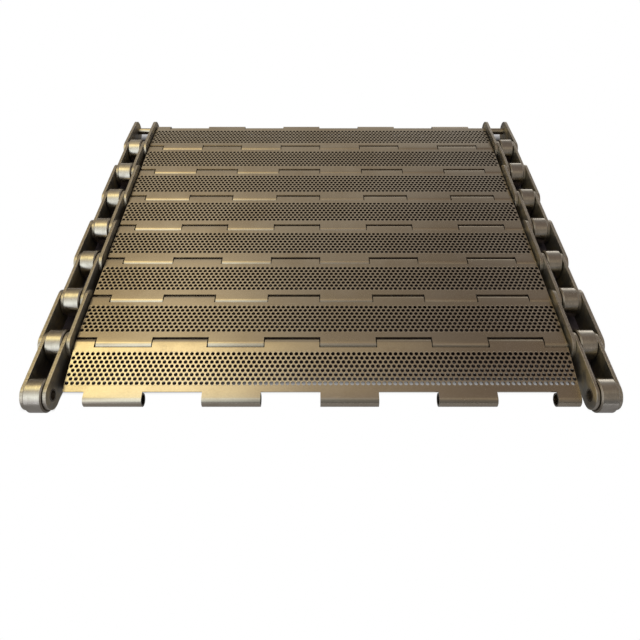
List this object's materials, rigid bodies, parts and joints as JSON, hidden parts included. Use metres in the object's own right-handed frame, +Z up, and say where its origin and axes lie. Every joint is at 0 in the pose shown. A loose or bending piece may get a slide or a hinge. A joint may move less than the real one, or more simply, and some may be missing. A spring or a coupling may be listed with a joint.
{
  "type": "hinged plate conveyor belt section",
  "caption": "Hinged conveyor belt section of perforated sheet plates on cross rods, carried along both edges by roller chains with large carrier rollers.",
  "frame": {"origin": "on the floor under the middle of the section", "axes": "+X across the belt to the right, +Y along the belt to the rear, +Z up"},
  "size_m": [0.4898, 0.4326, 0.0286],
  "materials": {
    "perforated_plate": "satin stainless sheet",
    "cross_rod": "drawn bar, peened ends",
    "link_plate": "stamped, oiled",
    "bushing": "rolled, oiled",
    "carrier_roller": "turned and polished"
  },
  "bodies": {
    "segment_2": {"hinge_plate_2": "perforated_plate", "cross_rod_1": "cross_rod", "cross_rod_2": "cross_rod", "left_link_plates_2": "link_plate", "right_link_plates_2": "link_plate"},
    "segment_3": {"hinge_plate_3": "perforated_plate", "left_link_plates_3": "link_plate", "left_bushings_3": "bushing", "right_link_plates_3": "link_plate", "right_bushings_3": "bushing"},
    "segment_4": {"hinge_plate_4": "perforated_plate", "cross_rod_3": "cross_rod", "cross_rod_4": "cross_rod", "left_link_plates_4": "link_plate", "right_link_plates_4": "link_plate"},
    "segment_5": {"hinge_plate_5": "perforated_plate", "left_link_plates_5": "link_plate", "left_bushings_5": "bushing", "right_link_plates_5": "link_plate", "right_bushings_5": "bushing"},
    "segment_6": {"hinge_plate_6": "perforated_plate", "cross_rod_5": "cross_rod", "cross_rod_6": "cross_rod", "left_link_plates_6": "link_plate", "right_link_plates_6": "link_plate"},
    "segment_7": {"hinge_plate_7": "perforated_plate", "left_link_plates_7": "link_plate", "left_bushings_7": "bushing", "right_link_plates_7": "link_plate", "right_bushings_7": "bushing"},
    "segment_8": {"hinge_plate_8": "perforated_plate", "cross_rod_7": "cross_rod", "cross_rod_8": "cross_rod", "left_link_plates_8": "link_plate", "right_link_plates_8": "link_plate"},
    "front_plate": {"hinge_plate_1": "perforated_plate"},
    "left_front_link": {"left_link_plates_1": "link_plate", "left_bushings_1": "bushing"},
    "left_roller_0": {"left_roller_0": "carrier_roller"},
    "left_roller_1": {"left_roller_1": "carrier_roller"},
    "left_roller_2": {"left_roller_2": "carrier_roller"},
    "left_roller_3": {"left_roller_3": "carrier_roller"},
    "left_roller_4": {"left_roller_4": "carrier_roller"},
    "left_roller_5": {"left_roller_5": "carrier_roller"},
    "left_roller_6": {"left_roller_6": "carrier_roller"},
    "left_roller_7": {"left_roller_7": "carrier_roller"},
    "right_front_link": {"right_link_plates_1": "link_plate", "right_bushings_1": "bushing"},
    "right_roller_0": {"right_roller_0": "carrier_roller"},
    "right_roller_1": {"right_roller_1": "carrier_roller"},
    "right_roller_2": {"right_roller_2": "carrier_roller"},
    "right_roller_3": {"right_roller_3": "carrier_roller"},
    "right_roller_4": {"right_roller_4": "carrier_roller"},
    "right_roller_5": {"right_roller_5": "carrier_roller"},
    "right_roller_6": {"right_roller_6": "carrier_roller"},
    "right_roller_7": {"right_roller_7": "carrier_roller"}
  },
  "joints": [
    {"name": "hinge_line_4", "type": "hinge", "parent": "segment_5", "child": "segment_4", "pos_m": [0, 0.00114, 0.01429], "axis": [1, 0, 0], "range_deg": [-20, 36]},
    {"name": "hinge_line_3", "type": "hinge", "parent": "segment_4", "child": "segment_3", "pos_m": [0, -0.04965, 0.01429], "axis": [1, 0, 0], "range_deg": [-20, 36]},
    {"name": "hinge_line_2", "type": "hinge", "parent": "segment_3", "child": "segment_2", "pos_m": [0, -0.10046, 0.01429], "axis": [1, 0, 0], "range_deg": [-20, 36]},
    {"name": "hinge_line_5", "type": "hinge", "parent": "segment_5", "child": "segment_6", "pos_m": [0, 0.05194, 0.01429], "axis": [-1, 0, 0], "range_deg": [-20, 36]},
    {"name": "hinge_line_6", "type": "hinge", "parent": "segment_6", "child": "segment_7", "pos_m": [0, 0.10275, 0.01429], "axis": [-1, 0, 0], "range_deg": [-20, 36]},
    {"name": "hinge_line_7", "type": "hinge", "parent": "segment_7", "child": "segment_8", "pos_m": [0, 0.15354, 0.01429], "axis": [-1, 0, 0], "range_deg": [-22.53, 33.47]},
    {"name": "front_plate_hinge", "type": "hinge", "parent": "segment_2", "child": "front_plate", "pos_m": [0, -0.15126, 0.01429], "axis": [1, 0, 0], "range_deg": [-29.68, 26.32]},
    {"name": "left_front_link_hinge", "type": "hinge", "parent": "segment_2", "child": "left_front_link", "pos_m": [-0.2303, -0.15126, 0.01429], "axis": [1, 0, 0], "range_deg": [-20, 36]},
    {"name": "left_roller_0_spin", "type": "hinge", "parent": "left_front_link", "child": "left_roller_0", "pos_m": [-0.2303, -0.20206, 0.01429], "axis": [1, 0, 0], "continuous": true},
    {"name": "left_roller_1_spin", "type": "hinge", "parent": "left_front_link", "child": "left_roller_1", "pos_m": [-0.2303, -0.15126, 0.01429], "axis": [1, 0, 0], "continuous": true},
    {"name": "left_roller_2_spin", "type": "hinge", "parent": "segment_3", "child": "left_roller_2", "pos_m": [-0.2303, -0.10046, 0.01429], "axis": [1, 0, 0], "continuous": true},
    {"name": "left_roller_3_spin", "type": "hinge", "parent": "segment_3", "child": "left_roller_3", "pos_m": [-0.2303, -0.04965, 0.01429], "axis": [1, 0, 0], "continuous": true},
    {"name": "left_roller_4_spin", "type": "hinge", "parent": "segment_5", "child": "left_roller_4", "pos_m": [-0.2303, 0.00114, 0.01429], "axis": [1, 0, 0], "continuous": true},
    {"name": "left_roller_5_spin", "type": "hinge", "parent": "segment_5", "child": "left_roller_5", "pos_m": [-0.2303, 0.05194, 0.01429], "axis": [1, 0, 0], "continuous": true},
    {"name": "left_roller_6_spin", "type": "hinge", "parent": "segment_7", "child": "left_roller_6", "pos_m": [-0.2303, 0.10275, 0.01429], "axis": [1, 0, 0], "continuous": true},
    {"name": "left_roller_7_spin", "type": "hinge", "parent": "segment_7", "child": "left_roller_7", "pos_m": [-0.2303, 0.15354, 0.01429], "axis": [1, 0, 0], "continuous": true},
    {"name": "right_front_link_hinge", "type": "hinge", "parent": "segment_2", "child": "right_front_link", "pos_m": [0.2303, -0.15126, 0.01429], "axis": [1, 0, 0], "range_deg": [-20, 36]},
    {"name": "right_roller_0_spin", "type": "hinge", "parent": "right_front_link", "child": "right_roller_0", "pos_m": [0.2303, -0.20206, 0.01429], "axis": [1, 0, 0], "continuous": true},
    {"name": "right_roller_1_spin", "type": "hinge", "parent": "right_front_link", "child": "right_roller_1", "pos_m": [0.2303, -0.15126, 0.01429], "axis": [1, 0, 0], "continuous": true},
    {"name": "right_roller_2_spin", "type": "hinge", "parent": "segment_3", "child": "right_roller_2", "pos_m": [0.2303, -0.10046, 0.01429], "axis": [1, 0, 0], "continuous": true},
    {"name": "right_roller_3_spin", "type": "hinge", "parent": "segment_3", "child": "right_roller_3", "pos_m": [0.2303, -0.04965, 0.01429], "axis": [1, 0, 0], "continuous": true},
    {"name": "right_roller_4_spin", "type": "hinge", "parent": "segment_5", "child": "right_roller_4", "pos_m": [0.2303, 0.00114, 0.01429], "axis": [1, 0, 0], "continuous": true},
    {"name": "right_roller_5_spin", "type": "hinge", "parent": "segment_5", "child": "right_roller_5", "pos_m": [0.2303, 0.05194, 0.01429], "axis": [1, 0, 0], "continuous": true},
    {"name": "right_roller_6_spin", "type": "hinge", "parent": "segment_7", "child": "right_roller_6", "pos_m": [0.2303, 0.10275, 0.01429], "axis": [1, 0, 0], "continuous": true},
    {"name": "right_roller_7_spin", "type": "hinge", "parent": "segment_7", "child": "right_roller_7", "pos_m": [0.2303, 0.15354, 0.01429], "axis": [1, 0, 0], "continuous": true}
  ]
}
